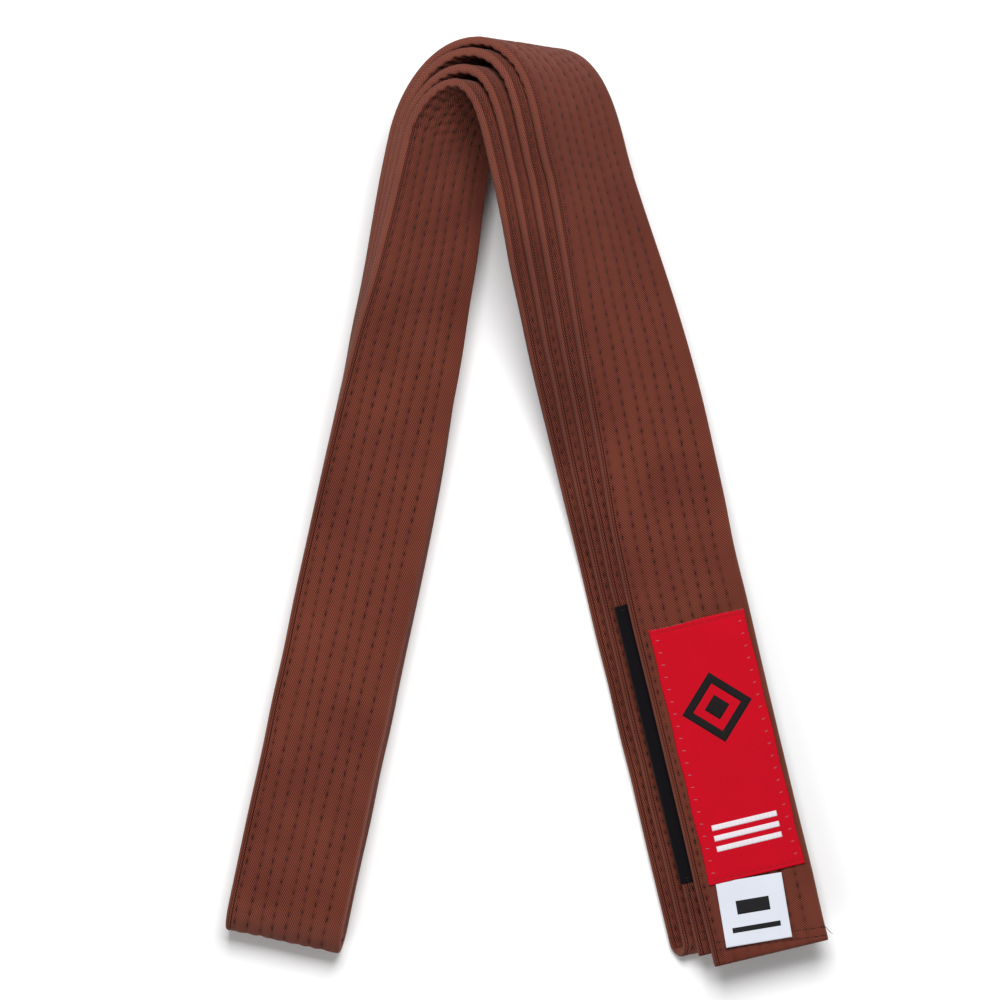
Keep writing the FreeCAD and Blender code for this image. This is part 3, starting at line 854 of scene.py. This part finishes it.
def makeRankBar():
    # a sleeve: out along the outside and back along the inside, closed round the strip
    start, end = barPlace["start"], barPlace["end"]
    along = np.linspace(start, end, 112)
    outerHalf = belt["thickness"] / 2 + 0.00003
    s = np.concatenate([along, [end + 0.0001], along[::-1], [start - 0.0001]])
    depth = np.concatenate([np.zeros(len(along)), [0.5], np.ones(len(along)), [0.5]]) * rankBar["wall"]
    turn = np.radians(np.linspace(-90, 90, 9)[1:-1])
    flat = belt["width"] / 2 + rankBar["side"] - rankBar["radius"]
    faceA = np.linspace(-flat, flat, 48)
    bulge, reach = edgeCurve(turn)
    aShare = np.concatenate([-reach, 0 * faceA, reach, 0 * faceA])
    aFlat = np.concatenate([np.full(len(turn), -flat), faceA, np.full(len(turn), flat), faceA[::-1]])
    hShare = np.concatenate([bulge, np.ones(len(faceA)), -bulge, -np.ones(len(faceA))])
    radius = rankBar["radius"] - depth[:, None]
    aside = aFlat[None] + aShare[None] * radius
    nearHem = smooth(1 - np.minimum(s - start, end - s) / rankBar["hemLength"])[:, None]
    ripple = 0.00010 * np.sin(aFlat[None] * 700 + s[:, None] * 260) * np.sin(s[:, None] * 410)
    half = outerHalf - depth[:, None] + (ripple + rankBar["hemRise"] * nearHem) * (depth[:, None] == 0)
    height = half * hShare[None]
    middle, across, normal = stripFrame(s)
    points = middle[:, None] + across[:, None] * aside[..., None] + normal[:, None] * height[..., None]
    uv = np.stack(np.broadcast_arrays(aside + height, s[:, None]), -1)
    quads = gridFaces(len(s), len(aFlat), wrapAlong=True)
    return addMesh("rankBar", points.reshape(-1, 3), quads, uv.reshape(-1, 2), plain["rankBlack"])


bar = makeRankBar()
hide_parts("rank_bar_sleeve")


def barSeams():
    # one row of stitches near each end of the rank bar, on both faces
    s, a, face = [], [], []
    for side in (1, -1):
        for seam in (barPlace["start"] + rankBar["seam"], barPlace["end"] - rankBar["seam"]):
            place = dashes(*rankBar["dashes"])
            a.append(place)
            s.append(np.full_like(place, seam))
            face.append(np.full_like(place, side))
    s, a, face = np.concatenate(s), np.concatenate(a), np.concatenate(face)
    middle, across, normal = stripFrame(s)
    height = belt["thickness"] / 2 + 0.0002
    centres = middle + across * a[..., None] + normal * (face * height)[..., None]
    heading = unit(np.cross(normal, across))
    outside = normal * face[..., None]
    return threadTubes("rankBarStitches", centres, heading, outside, rankBar["threadRadius"],
                       plain["blackThread"])


barStitches = barSeams()
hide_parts("rank_bar_stitches")


def looseThread(name, s, a, height, radius, material):
    # one thread tail through places (s, a) at heights above the strip's middle
    middle, across, normal = stripFrame(s)
    centres = middle + across * a[:, None] + normal * height[:, None]
    return threadTubes(name, centres[None], across[None], normal[None], radius, material)


tail = np.linspace(0, 1, 16)
barTail = looseThread("rankBarThreadTail", barPlace["end"] - rankBar["seam"] + 0.0078 * tail,
                      -0.0208 + 0.0011 * np.sin(4.2 * tail), -0.0026 - 0.0003 * np.sin(9 * tail),
                      0.00014, plain["blackThread"])
cornerTail = looseThread("labelEndThreadTail", 0.0062 - 0.0042 * tail + 0.0007 * np.sin(6 * tail),
                         0.0212 + 0.0044 * tail, 0.0024 - 0.0022 * tail**2,
                         0.00012, plain["darkBrownThread"])


patch = {"start": 0.0313, "length": 0.102, "width": 0.038, "aside": 0.0017,
         "lift": 0.00012, "thickness": 0.0006, "sideSeam": 0.0025, "endSeam": 0.0016}


def onLabel(s, a, height):
    # a point over the label end's outer face
    middle, across, normal = stripFrame(s)
    return middle + across * a[..., None] + normal * (belt["thickness"] / 2 + height)[..., None]


def flatSheet(name, s, a, low, high, material):
    # a thin closed sheet over a grid of s and a: its upper side, its lower side and the rim between
    rows, columns = s.shape
    upper, lower = onLabel(s, a, high), onLabel(s, a, low)
    vertices = np.concatenate([upper.reshape(-1, 3), lower.reshape(-1, 3)])
    i, j = np.arange(rows - 1)[:, None], np.arange(columns - 1)[None, :]
    corner = i * columns + j
    top = np.stack([corner, corner + 1, corner + columns + 1, corner + columns], -1).reshape(-1, 4)
    bottom = top[:, ::-1] + rows * columns
    border = np.concatenate([np.arange(columns), np.arange(1, rows) * columns + columns - 1,
                             (rows - 1) * columns + np.arange(columns - 1)[::-1],
                             np.arange(1, rows - 1)[::-1] * columns])
    following = np.roll(border, -1)
    rim = np.stack([following, border, border + rows * columns, following + rows * columns], -1)
    quads = np.concatenate([top, bottom, rim])
    flatUv = np.stack([a, s], -1).reshape(-1, 2)
    return addMesh(name, vertices, quads, np.concatenate([flatUv, flatUv]), material)


def patchRipple(s, a):
    # the patch follows the quilting under it a little, and is drawn down at its seams
    ripple = 0.00006 * np.sin(2 * np.pi * a / quilting["pitch"] + 1.0)
    ripple = ripple + 0.00010 * np.sin(95 * s) * np.sin(120 * a + 1.3)
    fromSide = patch["width"] / 2 - np.abs(a - patch["aside"])
    fromEnd = np.minimum(s - patch["start"], patch["start"] + patch["length"] - s)
    seam = np.exp(-(((fromSide - patch["sideSeam"]) / 0.0006) ** 2))
    seam = seam + np.exp(-(((fromEnd - patch["endSeam"]) / 0.0007) ** 2))
    return ripple - 0.00018 * seam


def makePatch():
    s = patch["start"] + np.linspace(0, patch["length"], 150)[:, None]
    a = patch["aside"] + np.linspace(-0.5, 0.5, 70)[None, :] * patch["width"]
    s, a = (grid.copy() for grid in np.broadcast_arrays(s, a))
    # the woven edges aren't quite straight, and the upper one is frayed
    edge = np.abs(a - patch["aside"]) / (patch["width"] / 2)
    a = a + 0.00018 * np.sin(s * 240) * edge**4 * np.sign(a - patch["aside"])
    upper = smooth((s - patch["start"] - patch["length"] + 0.002) / 0.002)
    s = s + upper * (0.00035 * np.sin(a * 3100) * np.sin(a * 900 + 1) + 0.0003 * np.sin(a * 210))
    high = patch["lift"] + patch["thickness"] + patchRipple(s, a)
    return flatSheet("labelPatch", s, a, high - patch["thickness"] * 0.9, high, plain["patchRed"])


labelPatch = makePatch()
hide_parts("label_patch")


patchThread = {"firstTick": 0.0045, "endGap": 0.003, "tickStep": 0.0049, "tickLength": 0.0013,
               "tickSlant": 0.0003, "dashes": (-0.0172, 0.0162, 0.0030, 0.0024),
               "above": 0.00003, "radius": 0.00012}


def patchStitches(name, kind, material):
    # grey ticks across the two long edges, or dashes along the two short ones
    s, a = [], []
    if kind == "side":
        place = np.arange(patchThread["firstTick"], patch["length"] - patchThread["endGap"],
                          patchThread["tickStep"])
        place = patch["start"] + place[:, None]
        run = np.linspace(-0.5, 0.5, 5)[None, :]
        for side in (-1, 1):
            seam = patch["aside"] + side * (patch["width"] / 2 - patch["sideSeam"])
            a.append(seam + patchThread["tickLength"] * run + 0 * place)
            s.append(place + side * patchThread["tickSlant"] * run)
    else:
        for seam in (patch["endSeam"], patch["length"] - patch["endSeam"]):
            place = dashes(*patchThread["dashes"])
            a.append(patch["aside"] + place)
            s.append(np.full_like(place, patch["start"] + seam))
    s, a = np.concatenate(s), np.concatenate(a)
    height = patch["lift"] + patch["thickness"] + patchRipple(s, a) + patchThread["above"]
    middle, across, normal = stripFrame(s)
    heading = unit(np.cross(normal, across))
    return threadTubes(name, onLabel(s, a, height), heading, normal, patchThread["radius"], material)


sideStitches = patchStitches("patchSideStitches", "side", plain["silverThread"])
endStitches = patchStitches("patchEndStitches", "end", plain["redThread"])
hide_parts("patch_side_stitches")
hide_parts("patch_end_stitches")


fray = {"threads": 90, "reach": 0.0009, "radius": 0.00007}


def makeFray():
    # cut thread ends along the patch's upper edge, of uneven length
    order = np.arange(fray["threads"])[:, None]
    chance = np.mod(np.sin(order * 12.9898) * 4375.85, 1.0)
    run = np.linspace(0, 1, 5)[None, :]
    a = patch["aside"] + (order / (fray["threads"] - 1) - 0.5) * (patch["width"] - 0.0006)
    a = a + 0.0003 * (chance - 0.5) * (1 + 2 * run)
    s = patch["start"] + patch["length"] - 0.0004 + fray["reach"] * (0.3 + 0.7 * chance) * run
    height = patch["lift"] + patch["thickness"] * (1 - 0.5 * run) + patchRipple(s, a)
    across, normal = stripFrame(s)[1:]
    return threadTubes("patchFray", onLabel(s, a, height), across, normal, fray["radius"],
                       plain["frayThread"])


patchFray = makeFray()


emblem = {"above": 0.067, "size": 0.014, "window": 0.0095, "heart": 0.005, "heartHole": 0.0002,
          "rise": 0.00028}
figureDepth = 0.0001  # how far the figures reach into the patch


def diamondRing(name, inner, outer, material):
    # the outline is where the distances from the middle, across and along, add up to the size
    turns, steps = 96, 12
    angle = np.linspace(0, 2 * np.pi, turns, endpoint=False)[None, :]
    size = np.linspace(outer, inner, steps)[:, None]
    reach = size / (np.abs(np.cos(angle)) + np.abs(np.sin(angle)))
    a = patch["aside"] + reach * np.cos(angle)
    s = patch["start"] + emblem["above"] + reach * np.sin(angle)
    share = np.linspace(0, 1, steps)[:, None]
    # a ring falls at both rims, a full diamond only at its outer one
    fromMiddle = 1 - share if inner == emblem["heartHole"] else 2 * share - 1
    swell = np.sqrt(np.clip(1 - fromMiddle**4, 0, 1))
    base = patch["lift"] + patch["thickness"] + patchRipple(s, a)
    top = onLabel(s, a, base + emblem["rise"] * swell)
    low = onLabel(s, a, base - figureDepth)
    vertices = np.concatenate([top.reshape(-1, 3), low[::-1].reshape(-1, 3)])
    uv = np.stack([a, s], -1)
    uv = np.concatenate([uv.reshape(-1, 2), uv[::-1].reshape(-1, 2)])
    quads = gridFaces(2 * steps, turns, wrapAlong=True)
    return addMesh(name, vertices, quads, uv, material)


emblemRing = diamondRing("patchDiamond", emblem["window"], emblem["size"], plain["figureBlack"])
emblemHeart = diamondRing("patchDiamondHeart", emblem["heartHole"], emblem["heart"],
                          plain["figureBlack"])
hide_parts("patch_emblem")


bandLook = {"count": 3, "first": 0.012, "step": 0.0042, "height": 0.0022,
            "halfWidth": 0.013, "rise": 0.00025}


def makeBands():
    # light bands with raised middles
    made = []
    for number in range(bandLook["count"]):
        low = patch["start"] + bandLook["first"] + bandLook["step"] * number
        s = low + np.linspace(0, bandLook["height"], 9)[:, None]
        a = patch["aside"] + np.linspace(-bandLook["halfWidth"], bandLook["halfWidth"], 53)[None, :]
        s, a = (grid.copy() for grid in np.broadcast_arrays(s, a))
        share = (s - low) / bandLook["height"]
        base = patch["lift"] + patch["thickness"] + patchRipple(s, a)
        swell = np.sqrt(np.clip(1 - (2 * share - 1) ** 4, 0, 1)) * (0.85 + 0.15 * np.sin(a * 9000))
        top = base + bandLook["rise"] * swell
        name = "patchBand" + str(number + 1)
        made.append(flatSheet(name, s, a, base - figureDepth, top, plain["figureWhite"]))
    return made


bands = makeBands()
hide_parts("patch_bands")


tab = {"start": 0.0053, "length": 0.0256, "width": 0.026, "aside": -0.0028,
       "shift": 0.0009, "turn": 4.0, "thickness": 0.00035}


def tabPoint(u, v):
    # u across and v up the tab, which is turned a little on the belt, to lengths along the strip
    angle = math.radians(tab["turn"])
    across, up = (u - 0.5) * tab["width"], (v - 1.0) * tab["length"]
    a = tab["aside"] + tab["shift"] + across * math.cos(angle) + up * math.sin(angle)
    s = tab["start"] + tab["length"] + up * math.cos(angle) - across * math.sin(angle)
    return s, a


def tabCurl(u, v):
    # the free lower corners stand up a little, and the tab is softly buckled
    corner = np.exp(-((v / 0.25) ** 2)) * (2 * np.abs(u - 0.5)) ** 3
    return 0.0002 + 0.0009 * corner + 0.00015 * np.sin(5.1 * v + 1.4) * np.sin(4.4 * u + 0.6)


def makeTab():
    u, v = np.meshgrid(np.linspace(0, 1, 53), np.linspace(0, 1, 53))
    s, a = tabPoint(u, v)
    curl = tabCurl(u, v)
    return flatSheet("sizeTab", s, a, curl, curl + tab["thickness"], plain["tabWhite"])


sizeTab = makeTab()
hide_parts("size_tab")


def printedBar(name, low, high, left, right):
    # a bar between shares of the tab's height and width
    u, v = np.meshgrid(np.linspace(left, right, 40), np.linspace(low, high, 9))
    s, a = tabPoint(u, v)
    curl = tabCurl(u, v) + tab["thickness"]
    return flatSheet(name, s, a, curl - 0.00005, curl + 0.00004, plain["printBlack"])


upperPrint = printedBar("tabPrintUpper", 0.47, 0.68, 0.25, 0.75)
lowerPrint = printedBar("tabPrintLower", 0.20, 0.28, 0.135, 0.865)
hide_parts("size_tab_print")
print("patch and tab made")


for piece in (labelLink, barEnd, linkStitches):
    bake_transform(piece)
for piece in (labelEnd, labelStitches):
    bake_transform(piece)
for piece in (bar, barStitches, barEndStitches, barHem, barTail):
    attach(piece, "bar_end")
for piece in (labelHem, labelPatch, sideStitches, endStitches, patchFray, emblemRing, emblemHeart,
              cornerTail, *bands):
    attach(piece, "label_end")
for piece in (sizeTab, upperPrint, lowerPrint):
    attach(piece, "size_tab_body")
for piece in (outerStitches, openLegStitches):
    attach(piece, "root")


studio = {
    "windowPlace": (0.06, 0.66, 1.3),
    "windowPower": 25.5,
    "lowPlace": (-0.55, -0.85, 0.95),
    "lowPower": 5.0,
    "lampSize": 0.8,
    "world": 0.16,
    "tableHalf": 3.0,
}
view = {"place": (-0.0104, 0.0010), "height": 8.0, "fieldWidth": 0.38986, "focusHeight": 0.012,
        "sensor": 36}


def addFloor():
    mesh = bpy.data.meshes.new("table")
    half = studio["tableHalf"]
    corners = [(-half, -half, 0), (half, -half, 0), (half, half, 0), (-half, half, 0)]
    mesh.from_pydata(corners, [], [(0, 1, 2, 3)])
    floor = bpy.data.objects.new("table", mesh)
    bpy.context.collection.objects.link(floor)
    material, tree, shader = startMaterial("tableWhite", 0.9, 0.0)
    shader.inputs["Base Color"].default_value = (0.93, 0.93, 0.93, 1)
    mesh.materials.append(material)


def addArea(name, place, size, power):
    light = bpy.data.lights.new(name, "AREA")
    light.shape, light.size, light.energy = "SQUARE", size, power
    lamp = bpy.data.objects.new(name, light)
    bpy.context.collection.objects.link(lamp)
    lamp.location = place
    direction = -np.array(place, float)
    yaw = math.atan2(direction[0], -direction[1])
    pitch = math.atan2(math.hypot(direction[0], direction[1]), -direction[2])
    lamp.rotation_euler = (pitch, 0.0, yaw + math.pi)


addFloor()
addArea("windowLight", studio["windowPlace"], studio["lampSize"], studio["windowPower"])
addArea("lowLight", studio["lowPlace"], studio["lampSize"], studio["lowPower"])
world = bpy.data.worlds.new("studio")
world.use_nodes = True
world.node_tree.nodes["Background"].inputs[0].default_value = (1, 1, 1, 1)
world.node_tree.nodes["Background"].inputs[1].default_value = studio["world"]
bpy.context.scene.world = world
bpy.context.scene.view_settings.view_transform = "Standard"

cameraData = bpy.data.cameras.new("camera")
cameraData.sensor_width = view["sensor"]
cameraData.lens = view["sensor"] * (view["height"] - view["focusHeight"]) / view["fieldWidth"]
camera = bpy.data.objects.new("camera", cameraData)
bpy.context.collection.objects.link(camera)
camera.location = (*view["place"], view["height"])
bpy.context.scene.camera = camera
print("table, light and camera made")
